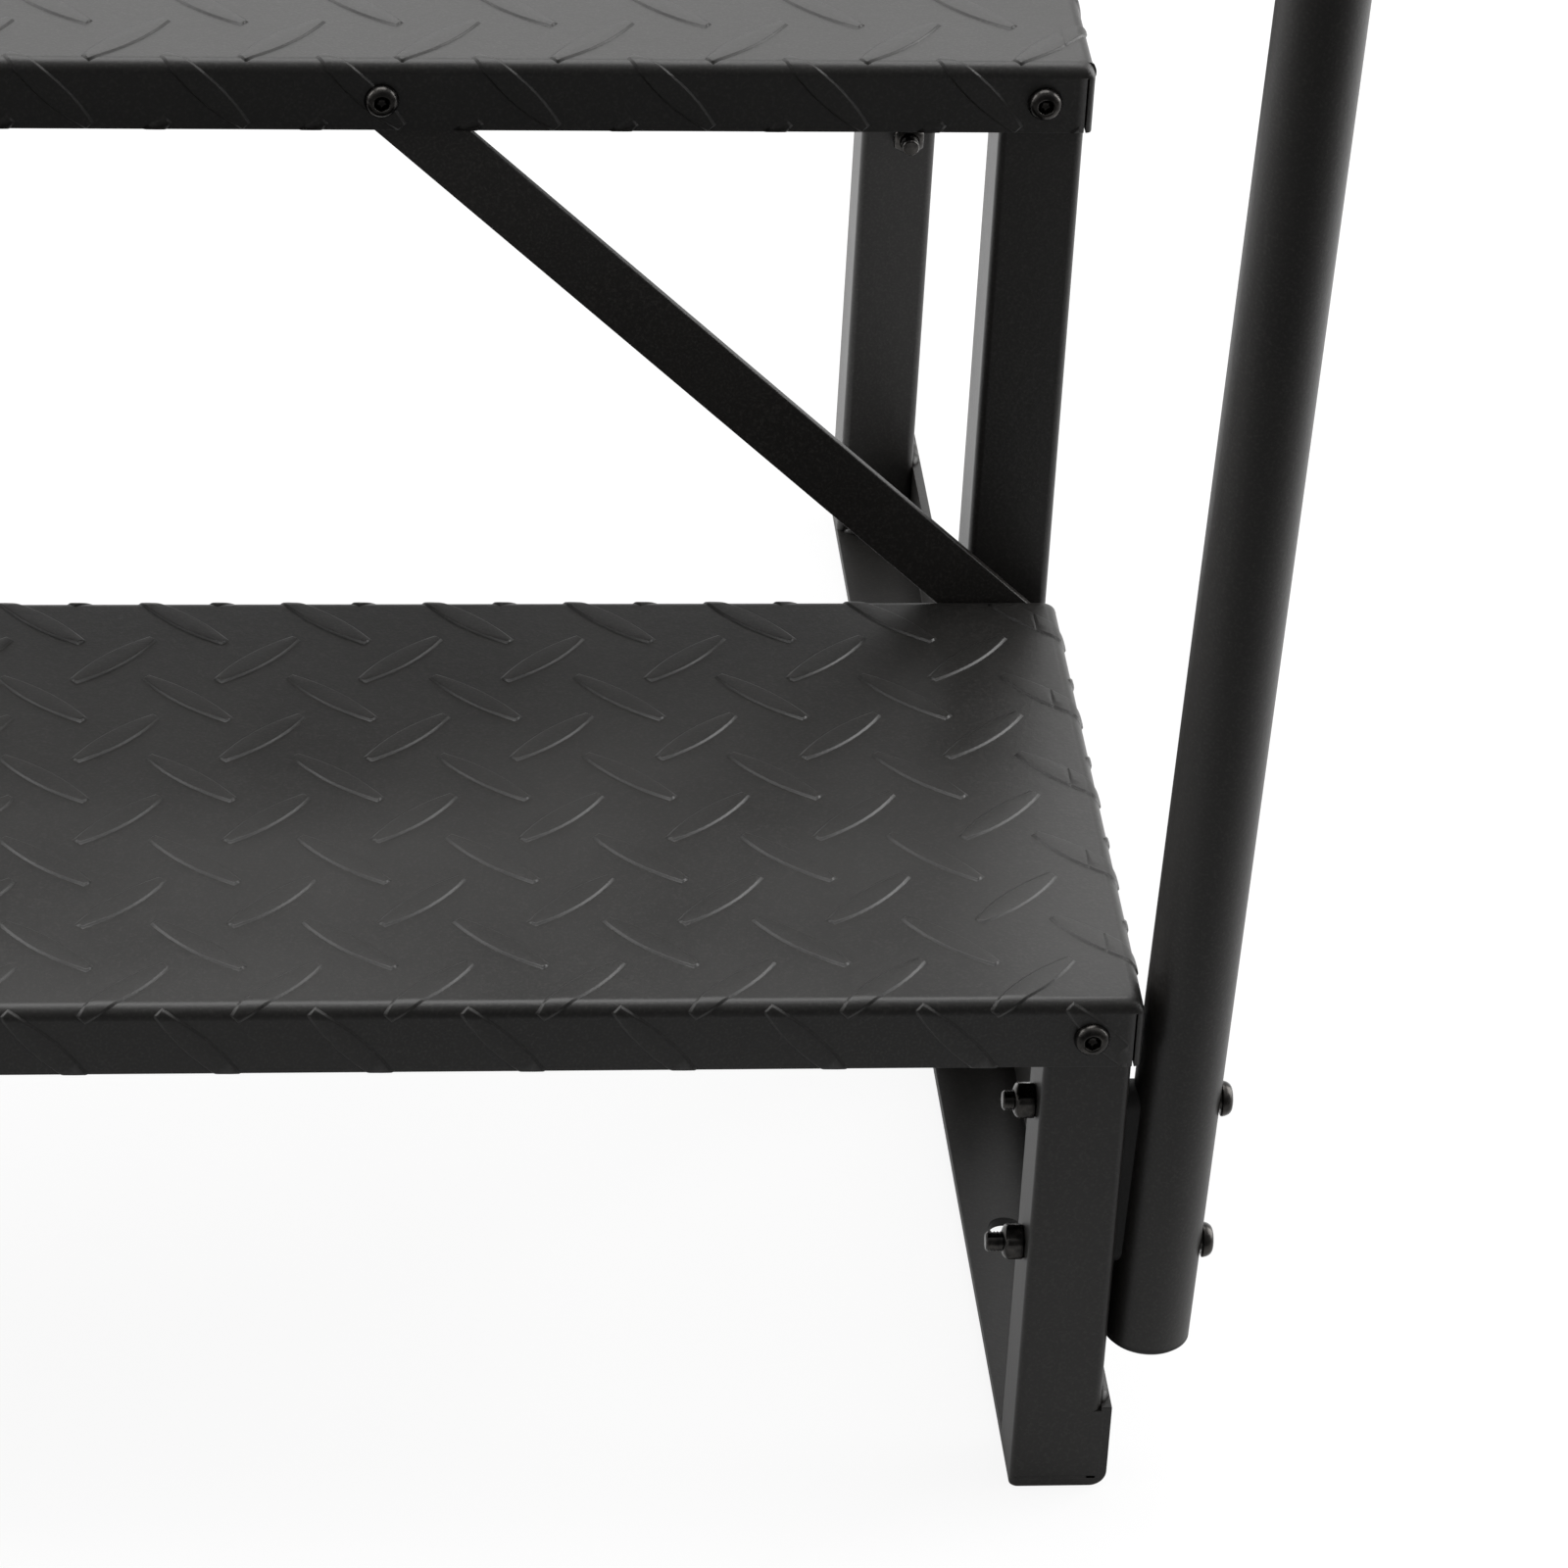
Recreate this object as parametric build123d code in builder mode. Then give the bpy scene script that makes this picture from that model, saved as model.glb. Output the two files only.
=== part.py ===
from build123d import *
from math import atan2, ceil, cos, floor, hypot, radians, sin, tan
import os

# Two-step stool: folded checker-plate treads screwed to six square-tube legs, which are welded
# to two angle-iron floor runners, with flat-bar braces and a cane-shaped handrail on one side.
# Millimetres. The origin is the centre of the four anchor holes, at floor level.
# -Y is the front, +X is the handrail side.

# Treads, folded from checker plate
tread_width = 610.0
lower_tread_height = 173.5  # floor to the lower walking surface
upper_tread_rise = 182.0  # lower to upper walking surface
lower_tread_depth = 222.0
sheet = 2.0  # plate thickness between the lugs
lip_height = 22.0
fold_radius = 3.0  # outside radius of the folds
corner_seam = 0.6  # open slit between a side lip and the end of the front or rear lip
screw_drop = 12.0  # walking surface down to the screws in the lips

# Raised lugs of the checker plate, alternating between the two diagonals
lug_length = 33.3
lug_width = 6.4
lug_end = 1.8  # width of a lug's blunt ends
lug_height = 0.6
lug_margin = 0.6  # bare strip beside a fold, where bending flattens the lugs
lower_lug_pitch = (43.0, 44.2)
upper_lug_pitch = (45.7, 44.2)
lower_first_lug = (-5.5, -79.4)
upper_first_lug = (-3.4, -27.6)

# Frame
base_length = 573.0  # front face of the front legs to rear face of the rear legs
leg_size = 25.4
leg_wall = 1.6
leg_corner = 2.5
runner_thickness = 3.2
runner_height = 28.6
runner_bend = 5.0
runner_toe = 1.5  # rounding along the lower inner edge
anchor_spacing = 320.0
anchor_hole = 10.0
weld_leg = 3.0

# Flat-bar braces
brace_width = 19.0
brace_thickness = 3.0
brace_seat = 0.05  # play where a brace bears on its leg and on its lip
brace_top_x = 94.0  # centre plane to the upper brace screws
brace_foot_shift = 3.0  # outward from the leg's axis

# Handrail
rail_diameter = 25.4
rail_wall = 1.6
rail_lean = 1.9  # degrees outward
rail_toe_gap = 0.5  # tube's lower end to the leg
rail_bottom = 49.0
rail_height = 900.0  # floor to the axis of the handle
rail_bend = 65.0
handle_reach = 225.0
rail_bolt_height = 80.0
rail_bolt_spacing = 50.0
rail_bolt_length = 63.5
saddle_width = 12.0
grip_diameter = 33.0
grip_length = 125.0
grip_end = 4.0
grip_groove = 1.5
grip_groove_count = 5
plug_length = 14.0
plug_flange = 2.0

# Screws and nuts
thread = 6.0
hole_play = 0.6
head_diameter = 10.5
head_height = 3.3
socket_size = 4.0  # across the flats
socket_depth = 2.0
nut_size = 10.0  # across the flats
nut_height = 6.0
nut_play = 0.2
nut_chamfer = 0.8
leg_screw_length = 35.0
brace_foot_screw_length = 40.0
brace_top_screw_length = 14.0

# Places that follow from the sizes above
upper_tread_height = lower_tread_height + upper_tread_rise
leg_x = tread_width / 2 - sheet - leg_size / 2
leg_outer_x = leg_x + leg_size / 2
front_leg_y = (leg_size - base_length) / 2
rear_leg_y = -front_leg_y
lower_front_y = front_leg_y - leg_size / 2 - sheet
lower_rear_y = lower_front_y + lower_tread_depth
upper_rear_y = rear_leg_y + leg_size / 2 + sheet
hole_diameter = thread + hole_play

# A brace leans in towards its top, from outside its leg to behind the lip above
brace_foot_x = leg_x + brace_foot_shift
brace_run = brace_foot_x - brace_top_x
brace_rise = upper_tread_rise
brace_length = hypot(brace_run, brace_rise)
brace_slope = atan2(brace_rise, brace_run)
leg_cross = leg_size / 2 + brace_foot_shift
leave_leg = (leg_cross + brace_width / 2 * sin(brace_slope)) / cos(brace_slope)
enter_lip = (brace_rise + screw_drop - lip_height) / sin(brace_slope) - brace_width / 2 / tan(brace_slope)
brace_offset = brace_thickness / 2 + brace_seat
brace_lean = 2 * brace_offset / (enter_lip - leave_leg)
brace_foot_offset = brace_offset + brace_lean * leave_leg
brace_top_offset = brace_foot_offset - brace_lean * brace_length
brace_space = brace_foot_offset + brace_lean * brace_width / 2 + brace_offset
middle_leg_y = lower_rear_y + brace_space + leg_size / 2
upper_front_y = middle_leg_y - leg_size / 2 - sheet

# The handrail's axis leans outward in the vertical plane through the front legs
rail_direction = Vector(sin(radians(rail_lean)), 0, cos(radians(rail_lean)))
rail_radius = rail_diameter / 2
rail_bottom_x = leg_outer_x + rail_toe_gap + rail_radius / cos(radians(rail_lean))
rail_bolts = [rail_bolt_height, rail_bolt_height + rail_bolt_spacing]

sides = (("left", -1), ("right", 1))
os.makedirs("parts", exist_ok=True)


def rail_axis_x(height):
    """X of the handrail's axis at a height above the floor."""
    return rail_bottom_x + (height - rail_bottom) * tan(radians(rail_lean))


def save(part, name):
    """Name a finished piece and write it to its own file."""
    part.label = name
    export_step(part, f"parts/{name}.step")


def facing(x, y, z, outward):
    """Plane at a point, facing -Y (outward -1) or +Y (outward 1), with its own Y axis up."""
    return Plane(origin=(x, y, z), x_dir=(-outward, 0, 0), z_dir=(0, outward, 0))


# ---- Treads: a plate folded down on all four sides, with lugs on every outer face ----


def lug_field(low, high, pitch, first, lean):
    """Lugs between two corners of a flat face, trimmed to it. first is the centre of one lug."""
    with BuildSketch(mode=Mode.PRIVATE) as lug:
        with BuildLine():
            end = Vector(lug_length / 2, lug_end / 2)
            Polyline(
                (-end.X, -end.Y), (0, -lug_width / 2), (end.X, -end.Y),
                (end.X, end.Y), (0, lug_width / 2), (-end.X, end.Y), close=True,
            )
        make_face()
    reach = lug_length * sin(radians(45)) / 2
    with BuildSketch() as field:
        for shift, turn in ((0, lean), (0.5, -lean)):
            counts = []
            for axis in (0, 1):
                start = (low[axis] - reach - first[axis]) / pitch[axis] - shift
                end = (high[axis] + reach - first[axis]) / pitch[axis] - shift
                counts.append(range(ceil(start), floor(end) + 1))
            spots = [
                (first[0] + (column + shift) * pitch[0], first[1] + (row + shift) * pitch[1])
                for column in counts[0]
                for row in counts[1]
            ]
            if spots:
                with Locations(*spots):
                    add(lug.sketch, rotation=turn)
        with Locations(((low[0] + high[0]) / 2, (low[1] + high[1]) / 2)):
            Rectangle(high[0] - low[0], high[1] - low[1], mode=Mode.INTERSECT)
    return field.sketch


def tread(front_y, rear_y, top, pitch, first, front_screws, rear_screws, rear_bare):
    """Folded pan. Screws are X places in a lip, rear_bare the width kept free of lugs for braces."""
    depth = rear_y - front_y
    middle_y = (front_y + rear_y) / 2
    half_width = tread_width / 2
    slit_spacing = tread_width - 2 * sheet - corner_seam
    with BuildPart() as pan:
        with BuildSketch(Plane.XY.offset(top)):
            with Locations((0, middle_y)):
                Rectangle(tread_width, depth)
        extrude(amount=-lip_height)
        fillet(pan.faces().sort_by(Axis.Z)[-1].edges(), fold_radius)
        with BuildSketch(Plane.XY.offset(top - sheet)):
            with Locations((0, middle_y)):
                Rectangle(tread_width - 2 * sheet, depth - 2 * sheet)
        extrude(amount=-lip_height, mode=Mode.SUBTRACT)

        # Open slit at each corner: the front and rear lips stop short of the side lips
        with BuildSketch(Plane.XY.offset(top - lip_height)):
            with Locations((0, middle_y)), GridLocations(slit_spacing, depth, 2, 2):
                Rectangle(corner_seam, 2 * sheet)
        extrude(amount=lip_height - fold_radius, mode=Mode.SUBTRACT)

        # Screw holes through the front and rear lips
        for y, screws in ((front_y, front_screws), (rear_y, rear_screws)):
            with Locations(*[(x, y, top - screw_drop) for x in screws]):
                Cylinder(hole_diameter / 2, 4 * sheet, rotation=(90, 0, 0), mode=Mode.SUBTRACT)

        # Lugs on the walking surface
        edge = fold_radius + lug_margin
        low = (-half_width + edge, front_y + edge)
        high = (half_width - edge, rear_y - edge)
        with BuildSketch(Plane.XY.offset(top)):
            add(lug_field(low, high, pitch, first, -45))
        extrude(amount=lug_height)

        # The same pattern runs on down the front and rear lips, clear of the screw heads
        lip_low = lug_margin - lip_height
        for outward, y, screws, bare in ((-1, front_y, front_screws, 0), (1, rear_y, rear_screws, rear_bare)):
            start = (-outward * first[0], -outward * (first[1] - y))
            span = half_width - edge
            with BuildSketch(facing(0, y, top, outward)):
                add(lug_field((-span, lip_low), (span, -edge), pitch, start, -45))
                with Locations(*[(x, -screw_drop) for x in screws]):
                    Circle(head_diameter / 2 + lug_margin, mode=Mode.SUBTRACT)
                if bare:
                    with Locations((-half_width, 0), (half_width, 0)):
                        Rectangle(2 * bare, 2 * lip_height, mode=Mode.SUBTRACT)
            extrude(amount=lug_height)

        # On the side lips the pattern is turned a quarter, so the diagonals change over
        turned = (pitch[1], pitch[0])
        for side in (-1, 1):
            start = (side * first[1], -side * first[0] + half_width)
            with BuildSketch(Plane(origin=(side * half_width, 0, top), x_dir=(0, side, 0), z_dir=(side, 0, 0))):
                ends = sorted((side * low[1], side * high[1]))
                add(lug_field((ends[0], lip_low), (ends[1], -edge), turned, start, 45))
            extrude(amount=lug_height)
    return pan.part


leg_screw_places = [-leg_x, leg_x]
brace_foot_places = [-brace_foot_x, brace_foot_x]
brace_top_places = [-brace_top_x, brace_top_x]
save(
    tread(
        lower_front_y, lower_rear_y, lower_tread_height, lower_lug_pitch, lower_first_lug,
        leg_screw_places, brace_foot_places, rear_bare=2 * leg_size,
    ),
    "lower_tread",
)
save(
    tread(
        upper_front_y, upper_rear_y, upper_tread_height, upper_lug_pitch, upper_first_lug,
        leg_screw_places + brace_top_places, leg_screw_places + brace_top_places, rear_bare=0,
    ),
    "upper_tread",
)


# ---- Legs: square tube, standing on the floor flange of the runner ----


def leg(x, y, top, screw_heights, screw_x):
    """One leg, from the runner up to the underside of its tread, drilled from front to back."""
    with BuildPart() as tube:
        with BuildSketch(Plane.XY.offset(runner_thickness)):
            with Locations((x, y)):
                RectangleRounded(leg_size, leg_size, leg_corner)
                bore = leg_size - 2 * leg_wall
                RectangleRounded(bore, bore, leg_corner - leg_wall, mode=Mode.SUBTRACT)
        extrude(amount=top - sheet - runner_thickness)
        with Locations(*[(place, y, height) for place, height in zip(screw_x, screw_heights)]):
            Cylinder(hole_diameter / 2, 2 * leg_size, rotation=(90, 0, 0), mode=Mode.SUBTRACT)
    return tube.part


lower_screw_height = lower_tread_height - screw_drop
upper_screw_height = upper_tread_height - screw_drop
for name, side in sides:
    x = side * leg_x
    foot_x = side * brace_foot_x
    front = leg(x, front_leg_y, lower_tread_height, [lower_screw_height], [x])
    if side > 0:
        with BuildPart() as drilled:
            add(front)
            with Locations(*[(x, front_leg_y, height) for height in rail_bolts]):
                Cylinder(hole_diameter / 2, 2 * leg_size, rotation=(0, 90, 0), mode=Mode.SUBTRACT)
        front = drilled.part
    save(front, f"{name}_front_leg")
    for row, y in (("middle", middle_leg_y), ("rear", rear_leg_y)):
        heights = [upper_screw_height, lower_screw_height]
        save(leg(x, y, upper_tread_height, heights, [x, foot_x]), f"{name}_{row}_leg")


# ---- Floor runners: an angle under each row of legs, its upright flange outside them ----

for name, side in sides:
    inner_x = leg_x - leg_size / 2
    outer_x = leg_outer_x + runner_thickness
    with BuildPart() as runner:
        with BuildSketch(Plane.XZ.offset(base_length / 2)) as section:
            with BuildLine():
                Polyline(
                    (side * inner_x, 0), (side * outer_x, 0), (side * outer_x, runner_height),
                    (side * leg_outer_x, runner_height), (side * leg_outer_x, runner_thickness),
                    (side * inner_x, runner_thickness), close=True,
                )
            make_face()
            heel = section.vertices().group_by(Axis.Y)[0].sort_by(Axis.X)
            outer, inner = (-1, 0) if side > 0 else (0, -1)
            fillet(heel[outer], runner_bend)
            fillet(heel[inner], runner_toe)
        extrude(amount=-base_length)
        fillet(runner.edges().filter_by(Axis.Z).group_by(Axis.X)[inner], leg_corner)
        with Locations((side * leg_x, -anchor_spacing / 2, 0), (side * leg_x, anchor_spacing / 2, 0)):
            Cylinder(anchor_hole / 2, 4 * runner_thickness, mode=Mode.SUBTRACT)
    save(runner.part, f"{name}_runner")


# ---- Weld beads that join the legs to the runners ----

for name, side in sides:
    inner_x = leg_x - leg_size / 2
    bead_width = leg_size - 2 * leg_corner
    with BuildPart() as beads:
        # On the floor flange, at the leg faces that don't stand at an end of the runner
        for y, outward in ((front_leg_y, 1), (middle_leg_y, -1), (middle_leg_y, 1), (rear_leg_y, -1)):
            face_y = y + outward * leg_size / 2
            with BuildSketch(Plane.YZ.offset(side * leg_x - bead_width / 2)):
                with BuildLine():
                    corner = (face_y, runner_thickness)
                    toe = (face_y + outward * weld_leg, runner_thickness)
                    crown = (face_y, runner_thickness + weld_leg)
                    Line(corner, toe)
                    RadiusArc(toe, crown, outward * 1.5 * weld_leg)
                    Line(crown, corner)
                make_face()
            extrude(amount=bead_width)
        # Along the top of the upright flange, against the outer face of each leg
        for y in (front_leg_y, middle_leg_y, rear_leg_y):
            with BuildSketch(Plane.XZ.offset(-y - bead_width / 2)):
                with BuildLine():
                    corner = (side * leg_outer_x, runner_height)
                    toe = (side * (leg_outer_x + weld_leg), runner_height)
                    crown = (side * leg_outer_x, runner_height + weld_leg)
                    Line(corner, toe)
                    RadiusArc(toe, crown, side * 1.5 * weld_leg)
                    Line(crown, corner)
                make_face()
            extrude(amount=bead_width)
        # Ground flush at the ends, between each leg's rounded corner and the upright flange
        for y, outward in ((front_leg_y, -1), (rear_leg_y, 1)):
            with BuildSketch(Plane.XY.offset(runner_thickness)):
                reach = leg_size / 2 - leg_corner / 2
                with Locations((side * (leg_x + reach), y + outward * reach)):
                    Rectangle(leg_corner, leg_corner)
                reach = leg_size / 2 - leg_corner
                with Locations((side * (leg_x + reach), y + outward * reach)):
                    Circle(leg_corner, mode=Mode.SUBTRACT)
            extrude(amount=runner_height - runner_thickness)
    save(beads.part, f"{name}_weld_beads")


# ---- Braces: flat bars with round ends, from the foot of each upper leg in under the tread ----

brace_rows = (("front", -1, middle_leg_y - leg_size / 2), ("rear", 1, rear_leg_y + leg_size / 2))
for name, side in sides:
    for row, outward, leg_face_y in brace_rows:
        foot = Vector(side * brace_foot_x, leg_face_y + outward * brace_foot_offset, lower_screw_height)
        top = Vector(side * brace_top_x, leg_face_y + outward * brace_top_offset, upper_screw_height)
        along = (top - foot).normalized()
        normal = (Vector(0, outward, 0) - along * along.Y * outward).normalized()
        with BuildPart() as brace:
            with BuildSketch(Plane(origin=(foot + top) / 2, x_dir=along, z_dir=normal)):
                SlotCenterToCenter(brace_length, brace_width)
                with GridLocations(brace_length, 0, 2, 1):
                    Circle(hole_diameter / 2, mode=Mode.SUBTRACT)
            extrude(amount=brace_thickness / 2, both=True)
        save(brace.part, f"{name}_{row}_brace")


# ---- Handrail: one tube, bolted to the right front leg, bent back at the top into a handle ----

rail_plane = Plane(
    origin=(rail_bottom_x, front_leg_y, rail_bottom),
    x_dir=(0, 1, 0),
    z_dir=Vector(0, 1, 0).cross(rail_direction),
)
rail_rise = (rail_height - rail_bottom) / cos(radians(rail_lean))
with BuildPart() as handrail_tube:
    with BuildLine(rail_plane) as rail_path:
        post = Line((0, 0), (0, rail_rise - rail_bend))
        bend = JernArc(start=post @ 1, tangent=post % 1, radius=rail_bend, arc_size=-90)
        Line(bend @ 1, (handle_reach, rail_rise))
    with BuildSketch(Plane(origin=rail_path.line @ 0, x_dir=(0, 1, 0), z_dir=rail_direction)):
        Circle(rail_radius)
        Circle(rail_radius - rail_wall, mode=Mode.SUBTRACT)
    sweep(path=rail_path.line)
    with Locations(*[(rail_axis_x(height), front_leg_y, height) for height in rail_bolts]):
        Cylinder(hole_diameter / 2, 2 * rail_diameter, rotation=(0, 90, 0), mode=Mode.SUBTRACT)
save(handrail_tube.part, "handrail_tube")

# Plastic plug in the tube's lower end
with BuildPart() as handrail_plug:
    plug_plane = Plane(origin=rail_plane.origin, x_dir=(0, 1, 0), z_dir=rail_direction)
    with BuildSketch(plug_plane):
        Circle(rail_radius)
    extrude(amount=-plug_flange)
    chamfer(handrail_plug.edges().filter_by(GeomType.CIRCLE).sort_by(Axis.Z)[0], plug_flange / 2)
    with BuildSketch(plug_plane):
        Circle(rail_radius - rail_wall - nut_play)
        Circle(rail_radius - 2 * rail_wall - nut_play, mode=Mode.SUBTRACT)
    extrude(amount=plug_length)
save(handrail_plug.part, "handrail_plug")

# Moulded grip pushed over the end of the handle, closed at its end, with grooves around it
handle_end = rail_plane.from_local_coords(Vector(handle_reach, rail_rise, 0))
with BuildPart() as handrail_grip:
    with BuildSketch(Plane(origin=handle_end, x_dir=rail_direction, z_dir=(0, 1, 0))):
        Circle(grip_diameter / 2)
    extrude(amount=grip_end)
    extrude(handrail_grip.faces().sort_by(Axis.Y)[0], amount=grip_length)
    chamfer(handrail_grip.edges().filter_by(GeomType.CIRCLE), grip_end / 2)
    groove_pitch = grip_length / (grip_groove_count + 1)
    for groove in range(1, grip_groove_count + 1):
        centre = handle_end - Vector(0, groove * groove_pitch, 0)
        with BuildSketch(Plane(origin=centre, x_dir=rail_direction, z_dir=(0, 1, 0))):
            Circle(grip_diameter / 2)
            Circle(grip_diameter / 2 - grip_groove, mode=Mode.SUBTRACT)
        extrude(amount=grip_groove, mode=Mode.SUBTRACT)
    with BuildSketch(Plane(origin=handle_end, x_dir=rail_direction, z_dir=(0, -1, 0))):
        Circle(rail_radius)
    extrude(amount=2 * grip_length, mode=Mode.SUBTRACT)
save(handrail_grip.part, "handrail_grip")

# Saddle strip, which fills the wedge between the upright leg and the leaning tube at both bolts
with BuildPart() as handrail_spacers:
    strip_middle = (leg_outer_x, front_leg_y, sum(rail_bolts) / 2)
    with BuildSketch(Plane(origin=strip_middle, x_dir=(0, 0, 1), z_dir=(1, 0, 0))):
        SlotCenterToCenter(rail_bolt_spacing, saddle_width)
        with GridLocations(rail_bolt_spacing, 0, 2, 1):
            Circle(hole_diameter / 2, mode=Mode.SUBTRACT)
    extrude(amount=rail_bottom_x - leg_outer_x)
    with BuildSketch(Plane(origin=rail_plane.origin, x_dir=(0, 1, 0), z_dir=rail_direction)):
        Circle(rail_radius)
    extrude(amount=rail_rise, mode=Mode.SUBTRACT)
save(handrail_spacers.part, "handrail_spacers")


# ---- Fasteners: button-head screws with hexagon sockets, and nuts ----


def screw(length):
    """Button-head screw, its head on +Z and its shank down -Z from the origin."""
    radius = head_diameter / 2
    flat = socket_size * 0.8
    with BuildPart(mode=Mode.PRIVATE) as body:
        with BuildSketch(Plane.XZ):
            with BuildLine():
                Line((0, 0), (radius, 0))
                Line((radius, 0), (radius, head_height / 8))
                dome = (0.82 * radius, 0.72 * head_height)
                ThreePointArc((radius, head_height / 8), dome, (flat, head_height))
                Line((flat, head_height), (0, head_height))
                Line((0, head_height), (0, 0))
            make_face()
        revolve(axis=Axis.Z)
        with BuildSketch(Plane.XY.offset(head_height)):
            RegularPolygon(socket_size / 2, 6, major_radius=False)
        extrude(amount=-socket_depth, mode=Mode.SUBTRACT)
        with BuildSketch(Plane.XY):
            Circle(thread / 2)
        extrude(amount=-length)
    return body.part


def nut():
    """Hexagon nut standing on the origin, with its corners chamfered."""
    corner = nut_size / (2 * cos(radians(30)))
    with BuildPart(mode=Mode.PRIVATE) as body:
        with BuildSketch(Plane.XY):
            RegularPolygon(nut_size / 2, 6, major_radius=False)
            Circle((thread + nut_play) / 2, mode=Mode.SUBTRACT)
        extrude(amount=nut_height)
        with BuildSketch(Plane.XZ):
            with BuildLine():
                edge = nut_size / 2
                Polyline((0, 0), (corner, 0), (corner, nut_height - nut_chamfer), (edge, nut_height),
                         (0, nut_height), close=True)
            make_face()
        revolve(axis=Axis.Z, mode=Mode.INTERSECT)
    return body.part


def fasteners(piece, planes, name):
    """Copies of one fastener, one on each plane, as separate solids of one node."""
    with BuildPart() as group:
        with Locations(*planes):
            add(piece)
    save(group.part, name)


# Lips to legs: heads outside the lips, nuts on the far side of the legs
leg_rows = (
    (lower_front_y, lower_screw_height, -1),
    (upper_front_y, upper_screw_height, -1),
    (upper_rear_y, upper_screw_height, 1),
)
leg_heads = []
leg_nuts = []
for y, z, outward in leg_rows:
    for x in leg_screw_places:
        leg_heads.append(facing(x, y, z, outward))
        leg_nuts.append(facing(x, y - outward * (sheet + leg_size), z, -outward))
fasteners(screw(leg_screw_length), leg_heads, "leg_screws")
fasteners(nut(), leg_nuts, "leg_nuts")

# Brace feet: the front pair also hold the rear lip of the lower tread
foot_rows = (
    (lower_rear_y - sheet, middle_leg_y + leg_size / 2, -1),
    (rear_leg_y + leg_size / 2 + brace_space, rear_leg_y - leg_size / 2, 1),
)
foot_heads = []
foot_nuts = []
for head_y, nut_y, outward in foot_rows:
    for x in brace_foot_places:
        foot_heads.append(facing(x, head_y, lower_screw_height, outward))
        foot_nuts.append(facing(x, nut_y, lower_screw_height, -outward))
fasteners(screw(brace_foot_screw_length), foot_heads, "brace_foot_screws")
fasteners(nut(), foot_nuts, "brace_foot_nuts")

# Brace tops: through the lips of the upper tread
top_nut_drop = brace_offset - brace_top_offset + brace_lean * nut_size
top_heads = []
top_nuts = []
for y, outward in ((upper_front_y, -1), (upper_rear_y, 1)):
    for x in brace_top_places:
        top_heads.append(facing(x, y, upper_screw_height, outward))
        top_nuts.append(facing(x, y - outward * (sheet + top_nut_drop), upper_screw_height, -outward))
fasteners(screw(brace_top_screw_length), top_heads, "brace_top_screws")
fasteners(nut(), top_nuts, "brace_top_nuts")

# Handrail bolts: heads on the tube, nuts on the inner face of the leg
rail_heads = []
rail_nuts = []
for height in rail_bolts:
    seat_x = rail_axis_x(height + head_diameter / 2) + rail_radius / cos(radians(rail_lean))
    rail_heads.append(Plane(origin=(seat_x, front_leg_y, height), x_dir=(0, 1, 0), z_dir=(1, 0, 0)))
    inner = (leg_x - leg_size / 2, front_leg_y, height)
    rail_nuts.append(Plane(origin=inner, x_dir=(0, -1, 0), z_dir=(-1, 0, 0)))
fasteners(screw(rail_bolt_length), rail_heads, "handrail_bolts")
fasteners(nut(), rail_nuts, "handrail_nuts")
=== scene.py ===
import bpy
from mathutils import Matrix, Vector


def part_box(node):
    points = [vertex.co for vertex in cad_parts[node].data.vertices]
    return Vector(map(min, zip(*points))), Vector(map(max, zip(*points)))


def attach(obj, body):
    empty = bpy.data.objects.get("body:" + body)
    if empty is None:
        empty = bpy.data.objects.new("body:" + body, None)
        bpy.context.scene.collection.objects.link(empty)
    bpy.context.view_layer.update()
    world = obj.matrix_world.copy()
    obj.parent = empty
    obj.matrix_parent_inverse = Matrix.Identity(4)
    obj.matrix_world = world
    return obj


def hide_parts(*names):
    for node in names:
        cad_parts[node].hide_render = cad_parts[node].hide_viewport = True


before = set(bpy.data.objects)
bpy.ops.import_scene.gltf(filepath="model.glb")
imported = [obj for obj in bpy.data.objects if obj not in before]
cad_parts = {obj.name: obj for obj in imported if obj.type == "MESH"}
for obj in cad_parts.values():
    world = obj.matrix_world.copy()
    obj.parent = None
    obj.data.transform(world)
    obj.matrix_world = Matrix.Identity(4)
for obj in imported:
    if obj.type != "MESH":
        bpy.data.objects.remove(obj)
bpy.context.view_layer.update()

from math import atan2, copysign, cos, pi, radians, sin

import bmesh
import bpy
from mathutils import Matrix, Vector

# ---- Floor runners
# One hot-rolled steel angle under the three legs of each side, its upright flange outside. Holes in
# the floor flange take anchor bolts. The whole frame is powder-coated black after welding.
runner_edge = 0.0004
same_point = 0.000002  # points of a solid that are nearer than this are merged


def noise_layer(tree, place, scale, detail):
    """Soft noise that is fixed to the piece."""
    texture = tree.nodes.new("ShaderNodeTexNoise")
    texture.inputs["Scale"].default_value = scale
    texture.inputs["Detail"].default_value = detail
    tree.links.new(place.outputs["Object"], texture.inputs["Vector"])
    return texture.outputs["Fac"]


def shade_ramp(tree, source, *stops):
    """Colours between two stops, each a place on the source's scale and a colour."""
    ramp = tree.nodes.new("ShaderNodeValToRGB")
    for element, (position, colour) in zip(ramp.color_ramp.elements, stops):
        element.position = position
        element.color = (*colour, 1)
    tree.links.new(source, ramp.inputs["Fac"])
    return ramp.outputs["Color"]


def scaled_range(tree, source, low, high, span=(0, 1), interpolation="LINEAR"):
    """The source's span turned into values from low to high."""
    scaled = tree.nodes.new("ShaderNodeMapRange")
    scaled.interpolation_type = interpolation
    scaled.inputs["From Min"].default_value = span[0]
    scaled.inputs["From Max"].default_value = span[1]
    scaled.inputs["To Min"].default_value = low
    scaled.inputs["To Max"].default_value = high
    tree.links.new(source, scaled.inputs["Value"])
    return scaled.outputs["Result"]


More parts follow.
